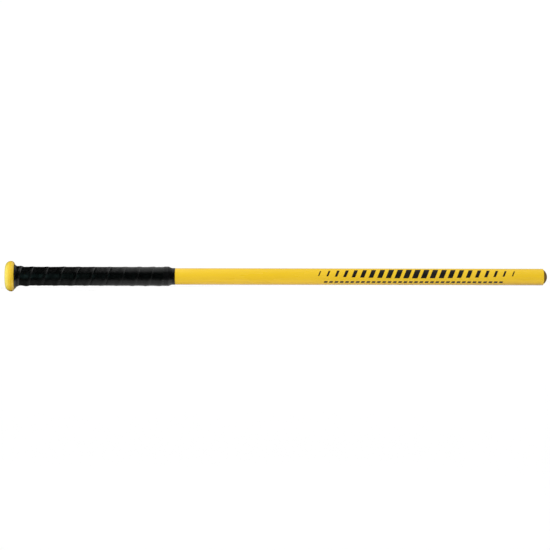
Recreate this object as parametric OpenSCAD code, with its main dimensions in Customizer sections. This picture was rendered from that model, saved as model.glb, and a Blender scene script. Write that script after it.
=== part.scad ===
// Hitting-practice stick bat: a straight one-inch tube with a rounded knob,
// a spirally wrapped grip and a closed, domed barrel end.
//
// Frame: the origin is the centre of the knob's butt face, +X runs along the
// stick to the barrel tip, +Z is up, and the printed marks face -Y.
// All sizes are in millimetres.

/* [Overall] */
// Length from the knob's butt face to the tip of the end plug
overall_len = 838.2; // [780:0.1:900]

/* [Barrel tube] */
// Outside diameter of the tube
tube_od = 25.4; // [24:0.1:28]
// Wall thickness of the tube
tube_wall = 3.175; // [2.8:0.005:3.6]
// Rounding of the rim at the barrel end
rim_round = 1.7; // [1:0.1:2.6]
// How much the handle stretch is turned down, on the radius
handle_relief = 0.25; // [0.2:0.01:0.4]

/* [Knob] */
// Largest diameter of the knob's bead
knob_d = 47.1; // [44:0.1:52]
// Where the bead is widest, from the butt face
knob_crown_x = 8.7; // [8:0.1:9.4]
// Rounding between the butt face and the crown
knob_front_round = 8.8; // [8:0.1:9.6]
// Rounding between the crown and the flare
knob_back_round = 5.6; // [5:0.1:6]
// Length of the knob from the butt face to the tube's end
knob_len = 23; // [22:0.1:25]
// Radius of the concave flare behind the bead
flare_round = 10.2; // [9.8:0.1:10.6]
// Length of the spigot inside the tube
spigot_len = 38; // [25:1:50]
// Diameter of the vent hole through the knob
vent_d = 5; // [4:0.1:6]

/* [Grip] */
// Where the wrap ends, from the butt face
grip_end_x = 252; // [220:1:300]
// Advance of one turn of the strip
strip_pitch = 23.45; // [22:0.05:25]
// Thickness of one layer of the strip
strip_t = 1.75; // [1.5:0.01:2]
// Height of the step at the strip's exposed edge
edge_step = 0.45; // [0.3:0.05:0.7]
// How far back from the exposed edge the step begins to rise
edge_run = 7.4; // [5:0.1:10]
// Where the second turn's exposed edge crosses the top of the stick
edge_at = 45.9; // [42:0.1:50]
// Flat steps in one turn of the strip
strip_steps = 24; // [16:4:32]
// Thickness of the adhesive layer under the wrap
adhesive_t = 0.15; // [0.1:0.01:0.25]

/* [Finishing tape] */
// Length of the tape over the wrap
tape_over = 6; // [4:0.5:12]
// Length of the tape from the end of the wrap to its own end
tape_run = 10.5; // [9:0.5:16]
// Built-up thickness of the tape's layers
tape_t = 0.3; // [0.2:0.05:0.6]

/* [Barrel end] */
// Height of the end plug's dome
dome_h = 5.4; // [4:0.1:7]
// Length of the plug inside the tube
plug_len = 24; // [18:1:32]
// Length of the balance weight
weight_len = 92; // [60:1:130]
// Thickness of the foam disc between the weight and the plug
damper_len = 12; // [6:1:20]

/* [Printed marks] */
// Where the row of slanted bars begins
bars_x0 = 478; // [440:1:500]
// Number of slanted bars
bar_count = 23; // [9:2:25]
// Distance from one bar to the next
bar_step = 13.6; // [11:0.1:14]
// Width of the widest bar
bar_w = 8.6; // [5:0.1:9]
// Number of dashes in the line below the bars
dash_count = 34; // [10:1:36]
// Thickness of the printed film
film_t = 0.12; // [0.08:0.01:0.15]

/* [Hidden] */
tube_r = tube_od / 2;
bore_r = tube_r - tube_wall;
handle_r = tube_r - handle_relief;
tube_x1 = overall_len - dome_h;      // open end of the tube
spigot_r = bore_r - 0.025;           // glued slip fit in the bore
flare_cr = handle_r + flare_round;   // centre of the flare's arc, on the radius
tape_x0 = grip_end_x - tape_over;
tape_x1 = grip_end_x + tape_run;
barrel_x0 = tape_x1 + 0.3;           // where the full-diameter barrel starts
wrap_x0 = 14.4;                        // edge of the wrap, up on the flare
wrap_r = handle_r + adhesive_t + 0.01; // surface the strip is wound on
plug_x0 = tube_x1 - plug_len;
weight_x1 = plug_x0 - damper_len;
weight_x0 = weight_x1 - weight_len;
spigot_x1 = knob_len + spigot_len;
wrap_low_r = wrap_r + strip_t;       // outside of the wrap between two edges
wrap_end_r = wrap_low_r + 0.1;       // outside of the wrap under the tape

// Turns a profile, drawn as (radius, distance along the stick), about +X.
module turned() {
    rotate([0, 90, 0]) rotate_extrude($fn = 128) children();
}

// The profile of a plain round bar or sleeve.
module bar(r0, r1, x0, x1) {
    translate([r0, x0]) square([r1 - r0, x1 - x0]);
}

// --- Barrel tube -----------------------------------------------------------

// One length of tube: a turned-down handle stretch, the full-diameter barrel
// and a rounded rim.
module barrel_tube() {
    color("gold") turned() {
        bar(bore_r, handle_r, knob_len, barrel_x0 + 1);
        bar(bore_r, tube_r, barrel_x0, tube_x1 - rim_round);
        bar(bore_r, tube_r - rim_round, tube_x1 - rim_round - 1, tube_x1);
        translate([tube_r - rim_round, tube_x1 - rim_round])
            intersection() {
                circle(r = rim_round, $fn = 96);
                translate([-0.5, -0.5]) square(rim_round + 0.5);
            }
    }
}

// --- Knob ------------------------------------------------------------------

// The solid part of the flare; grow moves its curved side outwards.
module flare_profile(grow = 0) {
    difference() {
        translate([0, knob_crown_x]) square([flare_cr, knob_len - knob_crown_x]);
        translate([flare_cr, knob_len]) circle(r = flare_round - grow, $fn = 128);
    }
}

// Rounded bead, concave flare and a spigot with glue grooves; a vent hole
// runs along the axis and opens into a shallow seat in the butt face.
module knob() {
    crown_r = knob_d / 2;
    color("gold") turned() difference() {
        union() {
            bar(0, crown_r - knob_front_round, 0, knob_crown_x + 0.5);
            intersection() {
                translate([crown_r - knob_front_round, knob_crown_x])
                    circle(r = knob_front_round, $fn = 128);
                bar(0, crown_r + 1, 0, knob_crown_x);
            }
            intersection() {
                translate([crown_r - knob_back_round, knob_crown_x])
                    circle(r = knob_back_round, $fn = 128);
                bar(0, crown_r + 1, knob_crown_x, knob_len);
            }
            bar(0, crown_r - knob_back_round, knob_crown_x - 0.5, knob_crown_x + 4);
            flare_profile();
            bar(0, spigot_r, knob_len - 1, spigot_x1 - 1);
            bar(0, spigot_r - 1, spigot_x1 - 1.5, spigot_x1);
        }
        bar(0, vent_d / 2, -1, spigot_x1 + 1);
        bar(0, vent_d / 2 + 2, -1, 1.2);
        for (k = [1 : 4])
            bar(spigot_r - 0.4, spigot_r + 1, knob_len + 7 * k, knob_len + 7 * k + 2);
    }
}

// Press-in plug with a flat head, one retaining rib and a short stem.
module knob_vent_plug() {
    color("dimgray") turned() {
        bar(0, vent_d / 2 + 1.9, 0.15, 1.2);
        bar(0, vent_d / 2 - 0.1, 1, 13);
        bar(0, vent_d / 2, 5, 6.5);
        bar(0, vent_d / 2, 9, 10.5);
    }
}

// --- Barrel end ------------------------------------------------------------

// Domed plug, hollow from the inside, with four ribs that grip the bore.
module end_plug() {
    seat_r = tube_r - rim_round;
    dome_r = (seat_r * seat_r + dome_h * dome_h) / (2 * dome_h);
    color([0.36, 0.29, 0.14]) turned() difference() {
        union() {
            intersection() {
                translate([0, overall_len - dome_r]) circle(r = dome_r, $fn = 128);
                bar(0, seat_r + 1, tube_x1, overall_len + 1);
            }
            bar(0, bore_r - 0.3, plug_x0 + 1, tube_x1 + 0.5);
            bar(0, bore_r - 1.2, plug_x0, plug_x0 + 2);
            for (k = [0 : 3])
                bar(0, bore_r, plug_x0 + 3 + 5 * k, plug_x0 + 5 + 5 * k);
            bar(0, bore_r, tube_x1 - 2, tube_x1);
        }
        bar(0, bore_r - 3.2, plug_x0 - 1, tube_x1 - 5);
    }
}

// Steel slug with two grooves for its rings.
module balance_weight() {
    color("silver") turned() difference() {
        union() {
            bar(0, bore_r - 0.325, weight_x0 + 1, weight_x1 - 1);
            bar(0, bore_r - 1.325, weight_x0, weight_x1);
        }
        for (x = [weight_x0 + 14, weight_x1 - 14])
            bar(bore_r - 1.625, bore_r + 1, x - 1.2, x + 1.2);
    }
}

// The two rings that sit in the slug's grooves and press on the bore.
module weight_rings() {
    ring_r = 0.8;
    color("black")
        for (x = [weight_x0 + 14, weight_x1 - 14])
            translate([x, 0, 0]) rotate([0, 90, 0])
                rotate_extrude($fn = 128)
                    translate([bore_r - ring_r - 0.005, 0]) circle(r = ring_r, $fn = 48);
}

// Foam rod between the knob's spigot and the slug.
module foam_core() {
    color("whitesmoke") turned() bar(0, bore_r - 0.4, spigot_x1, weight_x0);
}

// Foam disc between the slug and the end plug.
module foam_damper() {
    color("gainsboro") turned() bar(0, bore_r - 0.4, weight_x1, plug_x0);
}

// --- Grip ------------------------------------------------------------------

// Thin double-sided layer on the handle stretch of the tube.
module grip_adhesive() {
    color("wheat") turned()
        bar(handle_r, handle_r + adhesive_t, knob_len + 0.5, tape_x0 - 1);
}

// Outside radius of the wrap, s past the edge of the turn before it; the
// steps fade out where the tape begins.
function wrap_out(x, s) =
    let (rise = s < 0.3 ? 1 : max(0, 1 - (strip_pitch - s) / edge_run),
         keep = min(1, max(0, (tape_x0 - 2 - x) / 6)))
    keep * (wrap_low_r + edge_step * rise) + (1 - keep) * wrap_end_r;

// A solid body whose surface steps down along the strip's exposed edge. The
// edge winds as a left-hand helix; each turn shares its last line of points
// with the first line of the next one.
module stepped_body() {
    lines = [0, 0.55, strip_pitch - edge_run, strip_pitch - 3.2];
    m = len(lines);
    n = strip_steps;
    total = n * (floor((grip_end_x - edge_at) / strip_pitch) + 5);
    grow = 1 / cos(180 / n);
    pts = [for (i = [0 : total]) for (s = lines)
        let (tau = i / n - 3, phi = 90 - 360 * tau, x = edge_at + strip_pitch * tau + s,
             r = wrap_out(x, s) * (1 + grow) / 2)
        [x, r * cos(phi), r * sin(phi)]];
    x_lo = edge_at - 3 * strip_pitch - 1;
    x_hi = edge_at + strip_pitch * (total / n - 3) + 1;
    // Point j of section i; the point after the last belongs to the next turn.
    at = function (i, j) j < m ? i * m + j : (i + n) * m;
    ends = len(pts);
    first = concat([for (i = [0 : n]) at(i, 0)], [for (j = [m - 1 : -1 : 1]) at(0, j)]);
    last = concat([for (i = [0 : n]) at(total - n + i, 0)], [for (j = [m - 1 : -1 : 1]) at(total - n, j)]);
    polyhedron(
        points = concat(pts, [[x_lo, 0, 0], [x_hi, 0, 0]]),
        faces = concat(
            [for (i = [0 : total - n - 1]) for (j = [0 : m - 1])
                each [[at(i, j), at(i + 1, j), at(i, j + 1)],
                      [at(i + 1, j), at(i + 1, j + 1), at(i, j + 1)]]],
            [for (k = [0 : len(first) - 1]) [ends, first[(k + 1) % len(first)], first[k]]],
            [for (k = [0 : len(last) - 1]) [ends + 1, last[k], last[(k + 1) % len(last)]]]),
        convexity = 8);
}

// The wrap: stepped turns over the handle and a plain first turn that climbs
// the flare.
module grip_wrap() {
    turn_fn = 64;
    grow = 1 / cos(180 / turn_fn);
    color([0.08, 0.08, 0.08]) resize([0, 0, 0]) difference() {
        union() {
            intersection() {
                stepped_body();
                rotate([0, 90, 0]) translate([0, 0, 21.8])
                    cylinder(r = 30, h = grip_end_x - 21.8, $fn = 8);
            }
            rotate([0, 90, 0]) rotate_extrude($fn = turn_fn) {
                difference() {
                    translate([0, wrap_x0]) square([17.8, 21.5 - wrap_x0]);
                    translate([22.3, 21.5]) circle(r = 7.5, $fn = 72);
                }
                bar(0, 14.8, 21, 26.5);
            }
        }
        rotate([0, 90, 0]) rotate_extrude($fn = turn_fn) {
            difference() {
                translate([0, knob_crown_x])
                    square([flare_cr, knob_len - knob_crown_x]);
                translate([flare_cr, knob_len]) circle(r = flare_round - 0.05, $fn = 72);
            }
            bar(0, wrap_r * grow, knob_len - 0.5, grip_end_x + 1);
        }
    }
}

// Tape over the end of the wrap, stepping down to the tube.
module finish_tape() {
    over_r = wrap_end_r * (1 + 1 / cos(180 / strip_steps)) / 2 + 0.02;
    tube_seat = handle_r + 0.01;
    color([0.12, 0.12, 0.12]) turned() polygon([
        [over_r, tape_x0],
        [over_r + tape_t, tape_x0],
        [over_r + tape_t, grip_end_x + 0.6],
        [tube_seat + tape_t + 0.05, grip_end_x + 6.5],
        [tube_seat + tape_t, tape_x1],
        [tube_seat, tape_x1],
        [tube_seat, grip_end_x + 6],
        [over_r, grip_end_x + 0.05]]);
}

// --- Printed marks ---------------------------------------------------------

// Slanted bars that swell towards the middle of the row and taper at its
// ends, above a line of small dashes.
module mark_shapes() {
    mid = (bar_count - 1) / 2;
    for (i = [0 : bar_count - 1]) {
        far = abs(i - mid) / mid;
        w = bar_w * (1 - 0.78 * pow(far, 1.8));
        top = 10.9 - 2.2 * pow(far, 2);
        low = -2.3 + 3.4 * pow(far, 2);
        x = bars_x0 + 6 + bar_step * i;
        lean = 0.42;
        polygon([
            [x - w / 2 + lean * low, low],
            [x + w / 2 + lean * low, low],
            [x + w / 2 + lean * top, top],
            [x - w / 2 + lean * top, top]]);
    }
    for (i = [0 : dash_count - 1]) {
        x = bars_x0 + 18 + 8.2 * i;
        polygon([
            [x - 3.6, -9.4],
            [x + 1.8, -9.4],
            [x + 2.9, -6.8],
            [x - 2.5, -6.8]]);
    }
}

// The film follows the barrel's surface on the -Y side.
module barrel_graphic() {
    color("black") intersection() {
        turned() bar(tube_r, tube_r + film_t, bars_x0 - 10, bars_x0 + 340);
        translate([0, -2, 0]) rotate([90, 0, 0])
            linear_extrude(height = tube_r + 2) mark_shapes();
    }
}

// --- Assembly --------------------------------------------------------------

barrel_tube();
knob();
knob_vent_plug();
end_plug();
foam_core();
balance_weight();
weight_rings();
foam_damper();
grip_adhesive();
grip_wrap();
finish_tape();
barrel_graphic();
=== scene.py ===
import math

import bmesh
import bpy
import numpy as np
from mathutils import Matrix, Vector


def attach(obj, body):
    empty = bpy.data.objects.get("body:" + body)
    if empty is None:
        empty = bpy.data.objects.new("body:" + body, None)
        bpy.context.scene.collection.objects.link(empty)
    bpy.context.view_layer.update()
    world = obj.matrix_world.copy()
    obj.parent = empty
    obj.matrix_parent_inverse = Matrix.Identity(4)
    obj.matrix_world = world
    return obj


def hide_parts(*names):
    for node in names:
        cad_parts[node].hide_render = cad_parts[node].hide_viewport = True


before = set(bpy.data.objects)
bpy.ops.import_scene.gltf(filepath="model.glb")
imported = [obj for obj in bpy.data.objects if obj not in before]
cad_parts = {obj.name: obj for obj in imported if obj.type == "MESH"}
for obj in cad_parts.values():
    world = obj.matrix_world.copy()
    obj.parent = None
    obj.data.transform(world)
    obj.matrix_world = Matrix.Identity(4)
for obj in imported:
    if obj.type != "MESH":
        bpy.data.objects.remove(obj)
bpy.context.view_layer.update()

MM = 0.001
TAU = 2 * math.pi

# ---------------------------------------------------------------------------
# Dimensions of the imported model, in millimetres (the same as in part.scad)
# ---------------------------------------------------------------------------
OVERALL = 838.2
TUBE_R, BORE_R, HANDLE_R = 12.7, 9.525, 12.45
TUBE_X0, TUBE_X1, RIM_R = 23.0, 832.8, 1.7
BARREL_X0 = 262.8
KNOB_R, CROWN_X, FRONT_R, BACK_R = 23.55, 8.7, 8.8, 5.6
FLARE_R, FLARE_CR = 10.2, 22.65
WRAP_X0, WRAP_X1, WRAP_BASE = 14.4, 252.0, 12.61
TAPE_X0, TAPE_X1 = 246.0, 262.5
BAR_X0, BAR_N, BAR_STEP, BAR_W, DASH_N = 478.0, 23, 13.6, 8.6, 34


# ---------------------------------------------------------------------------
# Mesh helpers
# ---------------------------------------------------------------------------
def new_object(name, verts, faces, smooth=True, sharp_deg=35.0):
    mesh = bpy.data.meshes.new(name)
    mesh.from_pydata([tuple(v) for v in verts], [], [tuple(f) for f in faces])
    mesh.validate(verbose=False)
    obj = bpy.data.objects.new(name, mesh)
    bpy.context.scene.collection.objects.link(obj)
    tidy(obj, smooth, sharp_deg)
    return obj


def tidy(obj, smooth=True, sharp_deg=35.0):
    """Outward normals, smooth faces, and sharp edges where the surface turns sharply."""
    mesh = obj.data
    bm = bmesh.new()
    bm.from_mesh(mesh)
    bmesh.ops.recalc_face_normals(bm, faces=bm.faces)
    limit = math.radians(sharp_deg)
    for f in bm.faces:
        f.smooth = smooth
    for e in bm.edges:
        e.smooth = not (len(e.link_faces) == 2 and e.calc_face_angle(0.0) > limit)
    bm.to_mesh(mesh)
    bm.free()
    mesh.update()


def arc(cx, cr, rad, a0, a1, n):
    """Points (x, r) on an arc; angle 0 points to +x and 90 outwards."""
    return [
        (cx + rad * math.cos(math.radians(a0 + (a1 - a0) * k / n)),
         cr + rad * math.sin(math.radians(a0 + (a1 - a0) * k / n)))
        for k in range(n + 1)
    ]


def lathe(name, profile, seg=160, closed=True, sharp_deg=35.0):
    """A solid of revolution about +X. A closed profile is a ring's section; an open one starts and ends on the axis."""
    verts, rows = [], []
    for x, r in profile:
        if r <= 1e-9:
            rows.append([len(verts)])
            verts.append((x * MM, 0.0, 0.0))
        else:
            rows.append(list(range(len(verts), len(verts) + seg)))
            for j in range(seg):
                a = TAU * j / seg
                verts.append((x * MM, r * math.cos(a) * MM, r * math.sin(a) * MM))
    faces = []
    n = len(rows)
    for i in range(n if closed else n - 1):
        a, b = rows[i], rows[(i + 1) % n]
        if len(a) == 1 and len(b) == 1:
            continue
        for j in range(seg):
            k = (j + 1) % seg
            if len(a) == 1:
                faces.append((a[0], b[k], b[j]))
            elif len(b) == 1:
                faces.append((a[j], a[k], b[0]))
            else:
                faces.append((a[j], a[k], b[k], b[j]))
    return new_object(name, verts, faces, True, sharp_deg)


def place(obj, node, slot, *materials):
    for m in materials:
        obj.data.materials.append(m)
    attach(obj, "root")
    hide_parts(node)
    return obj


# ---------------------------------------------------------------------------
# Material helpers
# ---------------------------------------------------------------------------
class Mat:
    def __init__(self, name, color, roughness, **constants):
        self.mat = bpy.data.materials.new(name)
        self.mat.use_nodes = True
        self.t = self.mat.node_tree
        self.t.nodes.clear()
        self.out = self.t.nodes.new("ShaderNodeOutputMaterial")
        self.p = self.t.nodes.new("ShaderNodeBsdfPrincipled")
        self.t.links.new(self.p.outputs["BSDF"], self.out.inputs["Surface"])
        self.p.inputs["Base Color"].default_value = (*color, 1)
        self.p.inputs["Roughness"].default_value = roughness
        for k, v in constants.items():
            self.p.inputs[k.replace("_", " ")].default_value = v
        self.coord = self.t.nodes.new("ShaderNodeTexCoord").outputs["Object"]

    def link(self, a, b):
        self.t.links.new(a, b)

    def node(self, kind, **props):
        n = self.t.nodes.new(kind)
        for k, v in props.items():
            setattr(n, k, v)
        return n

    def scaled(self, sx, sy, sz):
        m = self.node("ShaderNodeMapping")
        m.inputs["Scale"].default_value = (sx, sy, sz)
        self.link(self.coord, m.inputs["Vector"])
        return m.outputs["Vector"]

    def noise(self, vector, scale=1.0, detail=2.0, rough=0.5, distortion=0.0):
        n = self.node("ShaderNodeTexNoise")
        n.inputs["Scale"].default_value = scale
        n.inputs["Detail"].default_value = detail
        n.inputs["Roughness"].default_value = rough
        n.inputs["Distortion"].default_value = distortion
        self.link(vector, n.inputs["Vector"])
        return n.outputs["Fac"]

    def voronoi(self, vector, scale=1.0, feature="F1", smooth=0.0):
        n = self.node("ShaderNodeTexVoronoi", feature=feature)
        n.inputs["Scale"].default_value = scale
        if feature == "SMOOTH_F1":
            n.inputs["Smoothness"].default_value = smooth
        self.link(vector, n.inputs["Vector"])
        return n.outputs["Distance"]

    def remap(self, value, a, b, c, d, smooth=False):
        n = self.node("ShaderNodeMapRange")
        if smooth:
            n.interpolation_type = "SMOOTHSTEP"
        for k, v in zip(("From Min", "From Max", "To Min", "To Max"), (a, b, c, d)):
            n.inputs[k].default_value = v
        self.link(value, n.inputs["Value"])
        return n.outputs["Result"]

    def ramp(self, value, *stops):
        n = self.node("ShaderNodeValToRGB")
        while len(n.color_ramp.elements) < len(stops):
            n.color_ramp.elements.new(0.5)
        for e, (pos, c) in zip(n.color_ramp.elements, stops):
            e.position = pos
            e.color = (*c, 1)
        self.link(value, n.inputs["Fac"])
        return n.outputs["Color"]

    def mix(self, fac, a, b, blend="MIX"):
        n = self.node("ShaderNodeMix", data_type="RGBA", blend_type=blend)
        for sock, v in ((n.inputs[0], fac), (n.inputs[6], a), (n.inputs[7], b)):
            if hasattr(v, "links"):
                self.link(v, sock)
            elif isinstance(v, (int, float)):
                sock.default_value = v
            else:
                sock.default_value = (*v, 1)
        return n.outputs[2]

    def math(self, op, a, b=0.0):
        n = self.node("ShaderNodeMath", operation=op)
        for sock, v in ((n.inputs[0], a), (n.inputs[1], b)):
            if hasattr(v, "links"):
                self.link(v, sock)
            else:
                sock.default_value = v
        return n.outputs[0]

    def color(self, value):
        self.link(value, self.p.inputs["Base Color"])

    def rough(self, value):
        self.link(value, self.p.inputs["Roughness"])

    def bump(self, height, strength, distance_mm, below=None):
        b = self.node("ShaderNodeBump")
        b.inputs["Strength"].default_value = strength
        b.inputs["Distance"].default_value = distance_mm * MM
        self.link(height, b.inputs["Height"])
        if below is not None:
            self.link(below, b.inputs["Normal"])
        self.link(b.outputs["Normal"], self.p.inputs["Normal"])
        return b.outputs["Normal"]


def coat_paint(name, low, mid, high, roughness, peel_mm, peel, seed, butt_highlight=None):
    """Gloss powder coat: a little colour drift, fine orange peel and a clear top layer."""
    m = Mat(name, mid, roughness, Coat_Weight=0.25, Coat_Roughness=0.08)
    m.p.inputs["Specular IOR Level"].default_value = 0.42
    drift = m.noise(m.scaled(9 + seed, 60, 60), 1.0, 3.0, 0.55)
    fine = m.noise(m.scaled(900, 900, 900), 1.0, 2.0, 0.6)
    tone = m.math("ADD", m.math("MULTIPLY", drift, 0.8), m.math("MULTIPLY", fine, 0.2))
    paint = m.ramp(tone, (0.30, low), (0.5, mid), (0.72, high))
    if butt_highlight:
        # painted highlight: the colour turns paler towards the butt face, where the light from the left falls
        x = m.node("ShaderNodeSeparateXYZ")
        m.link(m.coord, x.inputs["Vector"])
        paint = m.mix(m.remap(x.outputs["X"], 0.0005, 0.0105, 1.0, 0.0, True), paint, butt_highlight)
    m.color(paint)
    m.rough(m.remap(drift, 0.3, 0.7, roughness - 0.05, roughness + 0.06))
    k = 1.0 / (peel_mm * MM)
    big = m.noise(m.scaled(k, k, k), 1.0, 1.5, 0.4)
    b = m.bump(big, peel, 0.12)
    m.bump(fine, 0.10, 0.03, below=b)
    return m.mat


def make_materials():
    out = {}
    out["barrel"] = coat_paint(
        "yellow_powder_coat", (0.762, 0.492, 0.009), (0.778, 0.509, 0.012),
        (0.793, 0.526, 0.015), 0.27, 1.9, 0.16, 0)
    # the butt colour is a painted highlight, paler where the light from the left falls on the knob's end
    out["knob"] = coat_paint(
        "yellow_knob_coat", (0.690, 0.445, 0.016), (0.715, 0.470, 0.022),
        (0.740, 0.495, 0.028), 0.25, 1.6, 0.22, 3, butt_highlight=(0.705, 0.590, 0.085))

    # Grip strip: black leather-grain face, matt fibrous cut edges.
    m = Mat("black_grip_leather", (0.002, 0.0025, 0.0025), 0.4)
    m.p.inputs["Specular IOR Level"].default_value = 0.55
    cells = m.voronoi(m.scaled(1150, 1150, 1150), 1.0, "SMOOTH_F1", 0.5)
    crease = m.voronoi(m.scaled(1150, 1150, 1150), 1.0, "DISTANCE_TO_EDGE")
    broad = m.noise(m.scaled(70, 70, 70), 1.0, 3.0, 0.6)
    fine = m.noise(m.scaled(3200, 3200, 3200), 1.0, 2.0, 0.6)
    # painted shade: the colour darkens towards the grain's creases
    tone = m.ramp(crease, (0.0, (0.0003, 0.0005, 0.0005)), (0.16, (0.0007, 0.0011, 0.0010)))
    m.color(m.mix(m.remap(broad, 0.35, 0.7, 0.0, 0.5), tone, (0.0014, 0.0020, 0.0019)))
    m.rough(m.remap(broad, 0.3, 0.7, 0.26, 0.38))
    pebble = m.noise(m.scaled(430, 430, 430), 1.0, 2.0, 0.5)
    b = m.bump(pebble, 0.5, 0.30)
    b = m.bump(crease, 0.30, 0.10, below=b)
    b = m.bump(cells, 0.15, 0.08, below=b)
    m.bump(fine, 0.10, 0.02, below=b)
    out["grip"] = m.mat

    # Rounded exposed edge of the strip: its lighter colour is a painted highlight of the edge's glints.
    m = Mat("grip_scuffed_bevel", (0.016, 0.016, 0.016), 0.45)
    m.p.inputs["Specular IOR Level"].default_value = 0.55
    patch_noise = m.noise(m.scaled(300, 300, 300), 1.0, 3.0, 0.6)
    # painted highlight: lighter in noise patches and on the upper side, where the light falls
    side = m.node("ShaderNodeSeparateXYZ")
    m.link(m.coord, side.inputs["Vector"])
    painted_highlight = m.ramp(patch_noise, (0.35, (0.010, 0.010, 0.010)), (0.65, (0.034, 0.035, 0.034)))
    m.color(m.mix(m.remap(side.outputs["Z"], 0.002, 0.009, 0.0, 1.0, True), (0.0030, 0.0036, 0.0035), painted_highlight))
    m.rough(m.remap(patch_noise, 0.3, 0.7, 0.34, 0.50))
    m.bump(patch_noise, 0.3, 0.10)
    out["grip_scuff"] = m.mat

    m = Mat("grip_cut_edge", (0.005, 0.005, 0.005), 0.8)
    m.p.inputs["Specular IOR Level"].default_value = 0.15
    fibre = m.noise(m.scaled(2600, 900, 900), 1.0, 4.0, 0.7)
    m.color(m.ramp(fibre, (0.3, (0.003, 0.003, 0.003)), (0.7, (0.009, 0.009, 0.0085))))
    m.rough(m.remap(fibre, 0.3, 0.7, 0.75, 0.95))
    m.bump(fibre, 0.5, 0.12)
    out["grip_edge"] = m.mat

    m = Mat("grip_perforation", (0.003, 0.003, 0.003), 0.95)
    m.p.inputs["Specular IOR Level"].default_value = 0.1
    pit = m.noise(m.scaled(2500, 2500, 2500), 1.0, 2.0, 0.5)
    m.color(m.ramp(pit, (0.3, (0.002, 0.002, 0.002)), (0.7, (0.005, 0.005, 0.005))))
    out["grip_hole"] = m.mat

    # Vinyl finishing tape, stretched round the stick.
    m = Mat("black_vinyl_tape", (0.003, 0.003, 0.0032), 0.30)
    m.p.inputs["Specular IOR Level"].default_value = 0.45
    pull = m.noise(m.scaled(1400, 60, 60), 1.0, 3.0, 0.55)
    mott = m.noise(m.scaled(260, 260, 260), 1.0, 3.0, 0.6)
    m.color(m.ramp(mott, (0.3, (0.0018, 0.0018, 0.0020)), (0.7, (0.0040, 0.0040, 0.0044))))
    m.rough(m.remap(pull, 0.3, 0.7, 0.24, 0.36))
    b = m.bump(pull, 0.22, 0.05)
    m.bump(mott, 0.15, 0.08, below=b)
    out["tape"] = m.mat

    # Moulded rubber of the two plugs and the rings.
    m = Mat("black_moulded_rubber", (0.016, 0.015, 0.014), 0.5)
    m.p.inputs["Specular IOR Level"].default_value = 0.4
    grain = m.noise(m.scaled(1900, 1900, 1900), 1.0, 2.5, 0.6)
    bloom = m.noise(m.scaled(160, 160, 160), 1.0, 3.0, 0.6)
    m.color(m.ramp(bloom, (0.3, (0.010, 0.008, 0.005)), (0.7, (0.020, 0.016, 0.010))))
    m.rough(m.remap(bloom, 0.3, 0.7, 0.42, 0.58))
    m.bump(grain, 0.20, 0.05)
    out["rubber"] = m.mat

    m = Mat("brown_moulded_rubber", (0.15, 0.085, 0.012), 0.5)
    m.p.inputs["Specular IOR Level"].default_value = 0.4
    grain = m.noise(m.scaled(1900, 1900, 1900), 1.0, 2.5, 0.6)
    bloom = m.noise(m.scaled(160, 160, 160), 1.0, 3.0, 0.6)
    m.color(m.ramp(bloom, (0.3, (0.130, 0.074, 0.010)), (0.7, (0.170, 0.096, 0.015))))
    m.rough(m.remap(bloom, 0.3, 0.7, 0.42, 0.58))
    m.bump(grain, 0.20, 0.05)
    out["plug"] = m.mat

    # Screen-printed ink film.
    m = Mat("black_print_ink", (0.010, 0.010, 0.010), 0.42)
    m.p.inputs["Specular IOR Level"].default_value = 0.35
    screen = m.noise(m.scaled(2200, 2200, 2200), 1.0, 2.0, 0.5)
    wet = m.noise(m.scaled(200, 200, 200), 1.0, 2.0, 0.5)
    m.color(m.ramp(wet, (0.3, (0.008, 0.008, 0.008)), (0.7, (0.015, 0.014, 0.013))))
    m.rough(m.remap(wet, 0.3, 0.7, 0.36, 0.50))
    m.bump(screen, 0.12, 0.03)
    out["ink"] = m.mat

    # Pieces inside the tube.
    m = Mat("closed_cell_foam", (0.75, 0.75, 0.72), 0.95)
    cell = m.voronoi(m.scaled(1300, 1300, 1300), 1.0, "DISTANCE_TO_EDGE")
    m.color(m.ramp(cell, (0.0, (0.80, 0.80, 0.77)), (0.25, (0.66, 0.66, 0.63))))
    m.rough(m.remap(cell, 0.0, 0.3, 0.85, 0.98))
    m.bump(cell, 0.6, 0.3)
    out["foam"] = m.mat

    m = Mat("turned_steel", (0.55, 0.55, 0.56), 0.35, Metallic=1.0)
    lines = m.noise(m.scaled(4200, 40, 40), 1.0, 2.0, 0.5)
    m.color(m.ramp(lines, (0.3, (0.46, 0.46, 0.47)), (0.7, (0.60, 0.60, 0.61))))
    m.rough(m.remap(lines, 0.3, 0.7, 0.28, 0.45))
    m.bump(lines, 0.25, 0.03)
    out["steel"] = m.mat

    m = Mat("tan_adhesive_tape", (0.72, 0.62, 0.42), 0.6)
    weave = m.noise(m.scaled(500, 1600, 1600), 1.0, 3.0, 0.6)
    m.color(m.ramp(weave, (0.3, (0.62, 0.52, 0.34)), (0.7, (0.78, 0.69, 0.50))))
    m.rough(m.remap(weave, 0.3, 0.7, 0.5, 0.75))
    m.bump(weave, 0.3, 0.05)
    out["adhesive"] = m.mat
    return out


M = make_materials()

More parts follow.
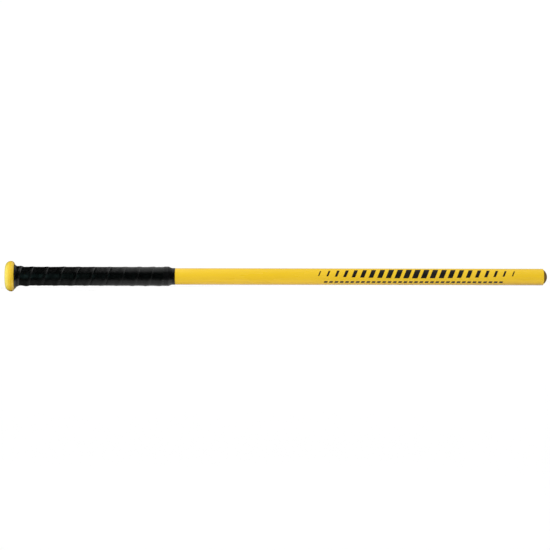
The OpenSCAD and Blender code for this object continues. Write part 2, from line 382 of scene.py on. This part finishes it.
# ---------------------------------------------------------------------------
# Barrel tube
# ---------------------------------------------------------------------------
profile = [(TUBE_X0, BORE_R), (TUBE_X0, HANDLE_R)]
profile += [(x, HANDLE_R) for x in np.linspace(60, 250, 6)]
profile += [(BARREL_X0 - 0.02, HANDLE_R), (BARREL_X0 + 0.03, HANDLE_R + 0.14),
            (BARREL_X0 + 0.16, TUBE_R - 0.02), (BARREL_X0 + 0.4, TUBE_R)]
profile += [(x, TUBE_R) for x in np.linspace(275, 825, 56)]
profile += arc(TUBE_X1 - RIM_R, TUBE_R - RIM_R, RIM_R, 90, 0, 14)
profile += [(TUBE_X1, 10.2), (TUBE_X1, 9.66), (TUBE_X1 - 0.12, BORE_R)]
profile += [(x, BORE_R) for x in np.linspace(800, 60, 12)]
tube = lathe("barrel_tube_body", profile, seg=192, closed=True)
place(tube, "barrel_tube", "barrel_coat", M["barrel"])

# ---------------------------------------------------------------------------
# Knob and its vent plug
# ---------------------------------------------------------------------------
beta0 = math.degrees(math.acos(CROWN_X / FRONT_R))
profile = [(61.0, 2.5), (1.2, 2.5), (1.2, 4.5), (0.22, 4.5), (0.05, 4.58), (0.0, 4.75)]
profile += [(0.0, r) for r in (7.0, 10.0, 13.0, 15.2)]
profile += arc(CROWN_X, KNOB_R - FRONT_R, FRONT_R, 180 - beta0, 90, 26)
profile += arc(CROWN_X, KNOB_R - BACK_R, BACK_R, 90, 4, 20)[1:]
profile += [(14.33, 17.60)]
profile += arc(TUBE_X0, FLARE_CR, FLARE_R, 180 + math.degrees(math.acos(8.55 / 10.2)), 270, 22)
profile += [(TUBE_X0, 9.5)]
for k in range(1, 5):
    g = TUBE_X0 + 7 * k
    profile += [(g, 9.5), (g + 0.05, 9.1), (g + 1.95, 9.1), (g + 2, 9.5)]
profile += [(60.0, 9.5), (61.0, 8.5)]
knob = lathe("knob_body", profile, seg=192, closed=True, sharp_deg=28)
place(knob, "knob", "knob_coat", M["knob"])

profile = [(0.32, 0.0), (0.30, 0.9), (0.20, 1.5), (0.15, 1.9), (0.15, 3.7),
           (0.20, 4.1), (0.36, 4.34), (0.6, 4.4), (1.2, 4.4), (1.2, 2.4),
           (5.0, 2.4), (5.4, 2.5), (6.1, 2.5), (6.5, 2.4), (9.0, 2.4),
           (9.4, 2.5), (10.1, 2.5), (10.5, 2.4), (12.4, 2.4), (13.0, 1.9), (13.0, 0.0)]
vent = lathe("vent_plug_body", profile, seg=96, closed=False)
place(vent, "knob_vent_plug", "black_rubber", M["rubber"])

# ---------------------------------------------------------------------------
# End plug: dome, ribbed stem, hollow from the inside
# ---------------------------------------------------------------------------
SEAT_R = TUBE_R - RIM_R
DOME_H = OVERALL - TUBE_X1
DOME_R = (SEAT_R ** 2 + DOME_H ** 2) / (2 * DOME_H)
px0 = TUBE_X1 - 24
profile = [(TUBE_X1 - 5, 0.0), (TUBE_X1 - 5, BORE_R - 3.6), (TUBE_X1 - 5.4, BORE_R - 3.2),
           (px0, BORE_R - 3.2), (px0, BORE_R - 1.2), (px0 + 1, BORE_R - 0.3)]
for k in range(4):
    g = px0 + 3 + 5 * k
    profile += [(g, BORE_R - 0.3), (g + 0.3, BORE_R - 0.03), (g + 1.0, BORE_R),
                (g + 1.7, BORE_R - 0.03), (g + 2.0, BORE_R - 0.3)]
profile += [(TUBE_X1 - 2, BORE_R - 0.3), (TUBE_X1 - 1.9, BORE_R), (TUBE_X1 - 0.12, BORE_R),
            (TUBE_X1 + 0.01, BORE_R + 0.12), (TUBE_X1 + 0.01, SEAT_R - 0.28)]
a_edge = math.degrees(math.asin(SEAT_R / DOME_R))
dome = arc(OVERALL - DOME_R, 0, DOME_R, a_edge - 0.6, 5.2, 30)
profile += [(TUBE_X1 + 0.10, SEAT_R - 0.06)] + dome
profile += [(OVERALL - 0.10, 0.95), (OVERALL - 0.16, 0.8), (OVERALL - 0.17, 0.0)]
plug = lathe("end_plug_body", profile, seg=160, closed=False, sharp_deg=40)
place(plug, "end_plug", "plug_rubber", M["plug"])

# ---------------------------------------------------------------------------
# Grip: one strip wound in a left-hand helix, each turn lapping the next
# ---------------------------------------------------------------------------
# Where the strip's exposed edge crosses the top of the stick, turn by turn.
EDGE_AT = [-22.0, -4.0, 11.5, 28.0, 46.0, 69.7, 94.2, 117.2, 141.4, 165.6, 189.4,
           211.8, 232.6, 253.0, 274.0, 295.0, 316.0]
EDGE_FIRST = -3
STRIP_W, STRIP_T = 31.4, 1.93
HALF_STEPS = 44  # per turn; a perforation's cell is two of them long


def catmull(values, u):
    i = max(1, min(len(values) - 3, int(math.floor(u))))
    t = u - i
    p0, p1, p2, p3 = values[i - 1], values[i], values[i + 1], values[i + 2]
    return 0.5 * (2 * p1 + (p2 - p0) * t + (2 * p0 - 5 * p1 + 4 * p2 - p3) * t * t
                  + (3 * p1 - p0 - 3 * p2 + p3) * t ** 3)


def edge_x(tau):
    """x of the exposed edge after tau turns; tau is whole where the edge crosses the top."""
    drift = 0.16 * math.sin(2.3 * tau * TAU + 0.7) + 0.10 * math.sin(5.1 * tau * TAU + 2.0)
    return catmull(EDGE_AT, tau - EDGE_FIRST) + drift


def smooth(a, b, v):
    t = min(1.0, max(0.0, (v - a) / (b - a)))
    return t * t * (3 - 2 * t)


def skived(d):
    """Thickness of the strip at d from its hidden edge, which is skived thin."""
    return 0.20 + (STRIP_T - 0.20) * smooth(0.0, 10.0, d)


def thickness(q):
    """Thickness of the strip at q from its exposed edge; both edges are thinned."""
    exposed = 0.45 + (STRIP_T - 0.45) * smooth(0.0, 5.5, q)
    return min(exposed, skived(STRIP_W - q))


def lift(tau, x):
    """How far the strip is lifted by the turn under it."""
    p = x - (edge_x(tau + 1) - STRIP_W)
    if p < -1.8:
        return 0.0
    if p < 0:
        return 0.28 * smooth(-1.8, 0.0, p)
    return skived(p) + 0.08


def settle(h, x):
    """Doubled layers are pressed flatter, more so towards the barrel."""
    k = 0.85 - 0.45 * smooth(60.0, 170.0, x)
    return min(h, STRIP_T) + max(0.0, h - STRIP_T) * k


def base_point(x):
    """(radius of what the strip is wound on, its slope) at x along the stick."""
    x = max(x, 13.3)
    rad = FLARE_R - 0.05
    if x < TUBE_X0:
        d = TUBE_X0 - x
        r = FLARE_CR - math.sqrt(rad * rad - d * d)
        if r > WRAP_BASE:
            return r, -d / math.sqrt(rad * rad - d * d)
    return WRAP_BASE, 0.0


def undulate(x, phi):
    """Soft unevenness of hand-wound leather, in millimetres."""
    return (0.045 * math.sin(0.31 * x + 3 * phi) * math.sin(2 * phi + 0.09 * x)
            + 0.030 * math.sin(0.83 * x - 5 * phi + 1.3) + 0.018 * math.sin(1.7 * x + 9 * phi))


def strip_point(tau, q, depth=0.0, under=False):
    """A point of the strip: on its face, sunk by depth, or on its underside."""
    phi = TAU * (0.25 - tau)
    x = edge_x(tau) - q
    r, slope = base_point(x)
    start = 0.34 + 0.66 * smooth(14.4, 19.5, x)
    if under:
        h = settle(lift(tau, x) * start, x)
    else:
        h = settle((lift(tau, x) + thickness(q)) * start, x) + undulate(x, phi) * smooth(0.0, 2.0, q) - depth * start
    n = math.sqrt(1 + slope * slope)
    px, pr = x - slope / n * h, r + h / n
    return (px * MM, pr * math.cos(phi) * MM, pr * math.sin(phi) * MM)


def build_wrap():
    verts, faces, mats = [], [], []

    def add(p):
        verts.append(p)
        return len(verts) - 1

    def face(idx, m):
        faces.append(tuple(idx))
        mats.append(m)

    tau0, tau1 = -1.0, 12.0
    n = int(round((tau1 - tau0) * HALF_STEPS))
    taus = [tau0 + k / HALF_STEPS for k in range(n + 1)]
    cols, first, width = 6, 1.5, 3.86
    bounds_q = [first + width * k for k in range(cols + 1)]
    edge_q = [(0.0, 0.42), (0.10, 0.20), (0.30, 0.06), (0.62, 0.0)]   # (q, rounding depth)
    hid_q = [26.6, 28.8, 30.4, STRIP_W]
    grid = {}
    for k, tau in enumerate(taus):
        for i, (q, d) in enumerate(edge_q):
            grid["e", i, k] = add(strip_point(tau, q, d * 0.62))
        for i, q in enumerate(bounds_q):
            grid["b", i, k] = add(strip_point(tau, q))
        for i, q in enumerate(hid_q):
            grid["h", i, k] = add(strip_point(tau, q))
        for i, q in enumerate((0.0, 2.0, 4.5, 6.6, 9.0, 16.0, 24.0, STRIP_W)):
            grid["u", i, k] = add(strip_point(tau, q, under=True))
    top = [("e", i) for i in range(len(edge_q))] + [("b", 0)]
    rest = [("b", cols)] + [("h", i) for i in range(len(hid_q))]
    low = [("u", i) for i in range(8)]

    def quads(line, m):
        for a, b in zip(line, line[1:]):
            for k in range(n):
                face((grid[(*a, k)], grid[(*a, k + 1)], grid[(*b, k + 1)], grid[(*b, k)]), m)

    quads(top[:2], 1)
    # the rounded exposed edge takes the painted-highlight material
    quads(top[1:], 3)
    quads(rest, 0)
    quads(low[::-1], 1)
    quads([low[0], top[0]], 1)
    quads([rest[-1], low[-1]], 1)

    # Face of the strip: cells with a punched hole each, staggered column by column.
    radius = 14.0
    for c in range(cols):
        q_mid = (bounds_q[c] + bounds_q[c + 1]) / 2
        start = c % 2
        mids = {}
        for a in range(start, n + 1, 2):
            mids[a] = add(strip_point(taus[a], q_mid))
        if start:
            face((grid["b", c, 0], grid["b", c, 1], mids[1], grid["b", c + 1, 1], grid["b", c + 1, 0]), 0)
        a = start
        while a + 2 <= n:
            ring = [grid["b", c, a], grid["b", c, a + 1], grid["b", c, a + 2], mids[a + 2],
                    grid["b", c + 1, a + 2], grid["b", c + 1, a + 1], grid["b", c + 1, a], mids[a]]
            tau_c = taus[a + 1]
            x_c = edge_x(tau_c) - q_mid
            if min(abs(x_c - WRAP_X0), abs(x_c - WRAP_X1)) < 4.5:   # no hole where the strip is trimmed
                hub = add(strip_point(tau_c, q_mid))
                for j in range(8):
                    face((ring[j], ring[(j + 1) % 8], hub), 0)
                a += 2
                continue
            lean = edge_x(tau_c + 1 / HALF_STEPS) - edge_x(tau_c - 1 / HALF_STEPS)
            lean /= 2 * TAU * radius / HALF_STEPS          # dx per mm round the stick
            rings = [ring]
            puff = 0.10 + 0.07 * math.sin(12.9898 * (a + 1) + 78.233 * (c + 1))
            for rho, depth in ((0.86, -puff), (0.58, 0.03), (0.50, 0.55)):
                pts = []
                for j in range(8):
                    # the ring starts at the corner (low q, low tau) like the outline does
                    ang = math.radians(225 - 45 * j)
                    along, across = rho * math.cos(ang), -rho * math.sin(ang)
                    t = tau_c + along / (TAU * radius)
                    q = q_mid + along * lean - across
                    pts.append(add(strip_point(t, q, depth)))
                rings.append(pts)
            for i, (ra, rb) in enumerate(zip(rings, rings[1:])):
                for j in range(8):
                    k = (j + 1) % 8
                    face((ra[j], ra[k], rb[k], rb[j]), 2 if i == 2 else 0)
            face(rings[-1], 2)
            a += 2
        if a < n:
            face((grid["b", c, a], grid["b", c, a + 1], grid["b", c + 1, a + 1], grid["b", c + 1, a], mids[a]), 0)
    return verts, faces, mats


verts, faces, mats = build_wrap()
mesh = bpy.data.meshes.new("grip_wrap_strip")
mesh.from_pydata(verts, [], faces)
mesh.polygons.foreach_set("material_index", mats)
bm = bmesh.new()
bm.from_mesh(mesh)
bmesh.ops.scale(bm, vec=(1000, 1000, 1000), verts=bm.verts)   # cut and fill in millimetres
for at, keep in ((WRAP_X0, 1), (WRAP_X1, -1)):
    geom = bm.verts[:] + bm.edges[:] + bm.faces[:]
    bmesh.ops.bisect_plane(bm, geom=geom, dist=1e-5, plane_co=(at, 0, 0),
                           plane_no=(keep, 0, 0), clear_inner=True)
    rim = [e for e in bm.edges if len(e.link_faces) == 1
           and all(abs(v.co.x - at) < 1e-3 for v in e.verts)]
    made = bmesh.ops.triangle_fill(bm, edges=rim, use_beauty=True, use_dissolve=False)
    left = [e for e in bm.edges if len(e.link_faces) == 1
            and all(abs(v.co.x - at) < 1e-3 for v in e.verts)]
    more = bmesh.ops.holes_fill(bm, edges=left, sides=0)
    for g in made["geom"] + more["faces"]:
        if isinstance(g, bmesh.types.BMFace):
            g.material_index = 1
bmesh.ops.delete(bm, geom=[v for v in bm.verts if not v.link_faces], context="VERTS")
bmesh.ops.scale(bm, vec=(MM, MM, MM), verts=bm.verts)
bm.to_mesh(mesh)
open_edges = sum(1 for e in bm.edges if len(e.link_faces) != 2)
bm.free()
print("wrap: faces", len(mesh.polygons), "open edges", open_edges)
wrap = bpy.data.objects.new("grip_wrap_strip", mesh)
bpy.context.scene.collection.objects.link(wrap)
tidy(wrap, True, 48)
place(wrap, "grip_wrap", "grip_strip", M["grip"], M["grip_edge"], M["grip_hole"], M["grip_scuff"])


# ---------------------------------------------------------------------------
# Finishing tape: two and a half turns over the wrap's end and down to the tube
# ---------------------------------------------------------------------------
def wrap_top(x, phi):
    """Outer radius of the wrap at x and round the stick at phi."""
    x = min(x, WRAP_X1)
    frac = (0.25 - phi / TAU) % 1.0
    for whole in range(-2, 14):
        tau = whole + frac
        e = edge_x(tau)
        if e >= x:
            return WRAP_BASE + settle(lift(tau, x) + thickness(e - x), x)
    return WRAP_BASE


def tape_outer(x, phi):
    over = sum(wrap_top(x + d, phi) for d in (-2.4, -1.2, 0, 1.2, 2.4)) / 5 + 0.20
    end = sum(wrap_top(WRAP_X1 - 0.4 + d, phi) for d in (-2.4, -1.2, 0)) / 3 + 0.20
    flat = TUBE_R + 0.20
    crease = (math.sin(11 * phi + 0.6) * 0.5 + math.sin(17 * phi + 2.1) * 0.3 + math.sin(29 * phi) * 0.2)
    if x < WRAP_X1 - 0.2:
        r = over
    else:
        t = smooth(WRAP_X1 - 0.2, WRAP_X1 + 6.3, x)
        r = end + (flat - end) * t + 0.10 * crease * math.sin(math.pi * t)
    flap = (phi - 0.35) % TAU
    return r + 0.13 * smooth(0.0, 0.035, flap) * (1 - smooth(3.55, 3.585, flap)) \
        + 0.012 * math.sin(1.9 * x + 4 * phi)


def build_tape():
    seg = 192
    xs = [TAPE_X0, TAPE_X0, TAPE_X0 + 0.08, TAPE_X0 + 0.25]
    drop = [None, 0.12, 0.03, 0.0]
    body = list(np.arange(TAPE_X0 + 0.8, TAPE_X1 - 0.5, 0.55))
    xs += body + [TAPE_X1 - 0.25, TAPE_X1 - 0.08, TAPE_X1, TAPE_X1]
    drop += [0.0] * len(body) + [0.0, 0.03, 0.10, None]
    rows, verts = [], []
    for x, d in zip(xs, drop):
        row = []
        for j in range(seg):
            phi = TAU * j / seg
            wave = 0.12 * math.sin(3 * phi + 1.0) + 0.05 * math.sin(7 * phi)
            xx = x + (wave if x < TAPE_X0 + 1 else 0.0)
            ro = tape_outer(xx, phi)
            r = ro - d if d is not None else ro - 0.30
            if d is None and x > TAPE_X1 - 1:
                r = HANDLE_R + 0.02
            row.append(len(verts))
            verts.append((xx * MM, r * math.cos(phi) * MM, r * math.sin(phi) * MM))
        rows.append(row)
    for x in list(np.linspace(TAPE_X1 - 2, WRAP_X1 + 6.4, 3)) + list(np.linspace(WRAP_X1 + 5, WRAP_X1 + 0.1, 5)) \
            + [WRAP_X1 - 1, WRAP_X1 - 2.5, WRAP_X1 - 4]:
        row = []
        for j in range(seg):
            phi = TAU * j / seg
            r = max(HANDLE_R + 0.02, tape_outer(x, phi) - 0.32)
            row.append(len(verts))
            verts.append((x * MM, r * math.cos(phi) * MM, r * math.sin(phi) * MM))
        rows.append(row)
    faces = []
    for i in range(len(rows)):
        a, b = rows[i], rows[(i + 1) % len(rows)]
        for j in range(seg):
            k = (j + 1) % seg
            faces.append((a[j], a[k], b[k], b[j]))
    return new_object("finish_tape_band", verts, faces, True, 40)


tape = build_tape()
place(tape, "finish_tape", "vinyl_tape", M["tape"])


# ---------------------------------------------------------------------------
# Printed marks: plain slanted bars and a line of dashes, following the barrel
# ---------------------------------------------------------------------------
def mark_outlines():
    out = []
    mid = (BAR_N - 1) / 2
    for i in range(BAR_N):
        far = abs(i - mid) / mid
        w = BAR_W * (1 - 0.78 * far ** 1.8)
        top, low = 10.9 - 2.2 * far ** 2, -2.3 + 3.4 * far ** 2
        x, lean = BAR_X0 + 6 + BAR_STEP * i, 0.42
        out.append((x - w / 2 + lean * low, x + w / 2 + lean * low,
                    x + w / 2 + lean * top, x - w / 2 + lean * top, low, top))
    for i in range(DASH_N):
        x = BAR_X0 + 18 + 8.2 * i
        out.append((x - 3.6, x + 1.8, x + 2.9, x - 2.5, -9.4, -6.8))
    return out


def build_marks():
    verts, faces = [], []
    r0, r1 = TUBE_R + 0.001, TUBE_R + 0.07
    for n_mark, (xa, xb, xc, xd, low, top) in enumerate(mark_outlines()):
        a0, a1 = math.asin(low / TUBE_R), math.asin(top / TUBE_R)
        nv = max(3, int(math.ceil((a1 - a0) / math.radians(2.5))))
        nu = 4
        grid = {}
        for side, r in (("o", r1), ("i", r0)):
            for i in range(nv + 1):
                a = a0 + (a1 - a0) * i / nv
                z = TUBE_R * math.sin(a)
                t = (z - low) / (top - low)
                left, right = xa + (xd - xa) * t, xb + (xc - xb) * t
                for j in range(nu + 1):
                    x = left + (right - left) * j / nu
                    # the film thins at its border, as printed ink does
                    rr = r
                    if side == "o" and (i in (0, nv) or j in (0, nu)):
                        rr = r - 0.02
                    grid[side, i, j] = len(verts)
                    verts.append((x * MM, -rr * math.cos(a) * MM, rr * math.sin(a) * MM))
        for i in range(nv):
            for j in range(nu):
                faces.append((grid["o", i, j], grid["o", i, j + 1], grid["o", i + 1, j + 1], grid["o", i + 1, j]))
                faces.append((grid["i", i, j], grid["i", i + 1, j], grid["i", i + 1, j + 1], grid["i", i, j + 1]))
        for i in range(nv):
            for j in (0, nu):
                q = [grid["o", i, j], grid["o", i + 1, j], grid["i", i + 1, j], grid["i", i, j]]
                faces.append(q if j == 0 else q[::-1])
        for j in range(nu):
            for i in (0, nv):
                q = [grid["o", i, j], grid["o", i, j + 1], grid["i", i, j + 1], grid["i", i, j]]
                faces.append(q[::-1] if i == 0 else q)
    return new_object("barrel_print_film", verts, faces, True, 30)


marks = build_marks()
place(marks, "barrel_graphic", "print_ink", M["ink"])

# ---------------------------------------------------------------------------
# Pieces inside keep their CAD shape and get finished materials
# ---------------------------------------------------------------------------
for node, mat in (("foam_core", "foam"), ("foam_damper", "foam"), ("balance_weight", "steel"),
                  ("weight_rings", "rubber"), ("grip_adhesive", "adhesive")):
    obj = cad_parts[node]
    if not obj.material_slots:
        obj.data.materials.append(M[mat])
    for s in obj.material_slots:
        s.material = M[mat]

# ---------------------------------------------------------------------------
# Floor, lights, world, camera
# ---------------------------------------------------------------------------
def floor():
    size, back, n = 9.0, 1.6, 24
    tilt = (KNOB_R - TUBE_R) / (TUBE_X1 - RIM_R - CROWN_X)
    verts, faces = [], []
    for i in range(n + 1):
        for j in range(n + 1):
            x, y = 0.42 + size * (2 * i / n - 1), -size + (size + back) * j / n
            z = (-KNOB_R + tilt * (x / MM - CROWN_X)) * MM - 0.00005
            verts.append((x, y, z))
    for i in range(n):
        for j in range(n):
            a = i * (n + 1) + j
            faces.append((a, a + n + 1, a + n + 2, a + 1))
    return new_object("studio_floor", verts, faces, True)


ground = floor()
m = Mat("pale_floor", (0.96, 0.96, 0.96), 0.8)
m.p.inputs["Specular IOR Level"].default_value = 0.1
speck = m.noise(m.scaled(6, 6, 6), 1.0, 2.0, 0.5)
m.color(m.ramp(speck, (0.3, (0.955, 0.955, 0.955)), (0.7, (0.965, 0.965, 0.965))))
ground.data.materials.append(m.mat)
ground.visible_glossy = False


def only_reflected(obj):
    """Studio cards that are seen in reflections and nowhere else."""
    obj.visible_camera = obj.visible_diffuse = obj.visible_transmission = False
    obj.visible_shadow = obj.visible_volume_scatter = False
    obj.visible_glossy = True
    return obj


def surround():
    """The room as reflections see it: dark in front and behind the camera, light above, below, behind and at the sides."""
    nu, nv, rad = 48, 24, 7.0
    verts, faces = [], []
    for i in range(nv + 1):
        e = math.pi * (i / nv - 0.5)
        for j in range(nu):
            t = TAU * j / nu
            verts.append((rad * math.cos(e) * math.cos(t), rad * math.cos(e) * math.sin(t), rad * math.sin(e)))
    for i in range(nv):
        for j in range(nu):
            k = (j + 1) % nu
            faces.append((i * nu + j, i * nu + k, (i + 1) * nu + k, (i + 1) * nu + j))
    obj = new_object("studio_surround", verts, faces, True, 180)
    obj.location = (0.42, 0, 0)
    mat = bpy.data.materials.new("surround_glow")
    mat.use_nodes = True
    mat.cycles.emission_sampling = "NONE"
    t = mat.node_tree
    t.nodes.clear()
    out = t.nodes.new("ShaderNodeOutputMaterial")
    em = t.nodes.new("ShaderNodeEmission")
    em.inputs["Color"].default_value = (1, 1, 1, 1)
    t.links.new(em.outputs[0], out.inputs["Surface"])
    xyz = t.nodes.new("ShaderNodeSeparateXYZ")
    t.links.new(t.nodes.new("ShaderNodeTexCoord").outputs["Object"], xyz.inputs[0])

    def part(sock, a, b, gain):
        n = t.nodes.new("ShaderNodeMapRange")
        n.interpolation_type = "SMOOTHSTEP"
        for k, v in zip(("From Min", "From Max", "To Min", "To Max"), (a * rad, b * rad, 0.0, gain)):
            n.inputs[k].default_value = v
        t.links.new(sock, n.inputs["Value"])
        return n.outputs["Result"]

    def brighter(p, q):
        n = t.nodes.new("ShaderNodeMath")
        n.operation = "MAXIMUM"
        t.links.new(p, n.inputs[0])
        t.links.new(q, n.inputs[1])
        return n.outputs[0]

    x, y, z = xyz.outputs
    glow = brighter(part(z, 0.60, 0.92, TOP_FAR), part(z, -0.62, -0.93, LOW_FAR))
    glow = brighter(glow, part(y, 0.10, 0.60, BACK_FAR))
    glow = brighter(glow, part(x, -0.62, -0.90, LEFT_FAR))
    glow = brighter(glow, part(x, 0.75, 0.95, RIGHT_FAR))
    t.links.new(glow, em.inputs["Strength"])
    obj.data.materials.append(mat)
    return only_reflected(obj)


def card(name, corners, strength, colour=(1, 1, 1)):
    """A flat glowing card, given by its corners, evenly bright."""
    a, b, c, d = [Vector(v) for v in corners]
    n = 6
    verts = [a.lerp(b, i / n).lerp(d.lerp(c, i / n), j / n) for j in range(n + 1) for i in range(n + 1)]
    faces = [(j * (n + 1) + i, j * (n + 1) + i + 1, (j + 1) * (n + 1) + i + 1, (j + 1) * (n + 1) + i)
             for j in range(n) for i in range(n)]
    obj = new_object(name, verts, faces, True)
    mat = bpy.data.materials.new(name + "_glow")
    mat.use_nodes = True
    mat.cycles.emission_sampling = "NONE"
    t = mat.node_tree
    t.nodes.clear()
    out = t.nodes.new("ShaderNodeOutputMaterial")
    em = t.nodes.new("ShaderNodeEmission")
    em.inputs["Color"].default_value = (*colour, 1)
    em.inputs["Strength"].default_value = strength
    t.links.new(em.outputs[0], out.inputs["Surface"])
    obj.data.materials.append(mat)
    return only_reflected(obj)


def white_sweep():
    """The white background, which only the camera sees."""
    nu, nv, rad = 32, 16, 8.0
    verts = [(0.42 + rad * math.cos(math.pi * (i / nv - 0.5)) * math.cos(TAU * j / nu),
              rad * math.cos(math.pi * (i / nv - 0.5)) * math.sin(TAU * j / nu),
              rad * math.sin(math.pi * (i / nv - 0.5))) for i in range(nv + 1) for j in range(nu)]
    faces = [(i * nu + j, i * nu + (j + 1) % nu, (i + 1) * nu + (j + 1) % nu, (i + 1) * nu + j)
             for i in range(nv) for j in range(nu)]
    obj = new_object("studio_white_sweep", verts, faces, True, 180)
    mat = bpy.data.materials.new("white_sweep_glow")
    mat.use_nodes = True
    mat.cycles.emission_sampling = "NONE"
    t = mat.node_tree
    t.nodes.clear()
    out = t.nodes.new("ShaderNodeOutputMaterial")
    em = t.nodes.new("ShaderNodeEmission")
    em.inputs["Color"].default_value = (1, 1, 1, 1)
    em.inputs["Strength"].default_value = 1.02
    t.links.new(em.outputs[0], out.inputs["Surface"])
    obj.data.materials.append(mat)
    obj.visible_diffuse = obj.visible_glossy = obj.visible_transmission = False
    obj.visible_shadow = obj.visible_volume_scatter = False


white_sweep()
TOP_FAR, LOW_FAR, BACK_FAR, LEFT_FAR, RIGHT_FAR = 0.015, 0.12, 0.01, 0.9, 0.25
surround()
card("grip_top_card", [(0.125, -0.26, 0.40), (0.275, -0.26, 0.40), (0.275, 0.8, 0.40), (0.125, 0.8, 0.40)], 0.85)
card("barrel_top_card", [(0.275, -0.12, 0.40), (1.2, -0.12, 0.40), (1.2, 0.9, 0.40), (0.275, 0.9, 0.40)], 0.45)
card("grip_low_card", [(0.10, -0.33, -0.35), (0.10, 0.8, -0.35), (0.275, 0.8, -0.35), (0.275, -0.33, -0.35)], 0.58)
card("barrel_low_card", [(0.275, -0.33, -0.35), (0.275, 0.8, -0.35), (1.2, 0.8, -0.35), (1.2, -0.33, -0.35)], 1.0)
card("front_left_card", [(-0.5, -0.5, -0.16), (-0.025, -0.5, -0.16), (-0.025, -0.5, 0.2), (-0.5, -0.5, 0.2)],
     0.42, (0.50, 1.0, 0.96))


def softbox(name, where, aim, w, h, power, colour=(1, 1, 1)):
    data = bpy.data.lights.new(name, "AREA")
    data.shape, data.size, data.size_y = "RECTANGLE", w, h
    data.energy, data.color = power, colour
    obj = bpy.data.objects.new(name, data)
    obj.location = where
    obj.rotation_euler = (Vector(aim) - Vector(where)).to_track_quat("-Z", "Y").to_euler()
    obj.visible_glossy = False
    bpy.context.scene.collection.objects.link(obj)
    return obj


softbox("key_left", (-0.9, -0.55, 0.28), (0.0, 0, 0), 0.6, 0.5, 4.6)
softbox("overhead", (0.30, -0.35, 1.1), (0.3, 0, 0), 1.0, 0.7, 0.5)
softbox("floor_wash", (0.42, -1.6, 3.2), (0.42, -1.6, 0), 5.0, 7.0, 76)

world = bpy.data.worlds.new("studio")
bpy.context.scene.world = world
world.use_nodes = True
world.node_tree.nodes["Background"].inputs["Color"].default_value = (1, 1, 1, 1)
world.node_tree.nodes["Background"].inputs["Strength"].default_value = 0.80

cam_data = bpy.data.cameras.new("camera")
cam_data.sensor_width = 36.0
cam_data.lens = 169.12
cam = bpy.data.objects.new("camera", cam_data)
cam.location = (0.4172, -4.0, 0.00248)
cam.rotation_mode = "XYZ"
cam.rotation_euler = (math.radians(90), math.radians(-0.10), 0)
cam_data.clip_start, cam_data.clip_end = 0.05, 60
bpy.context.scene.collection.objects.link(cam)
bpy.context.scene.camera = cam

bpy.context.scene.view_settings.view_transform = "Standard"
bpy.context.scene.view_settings.look = "None"
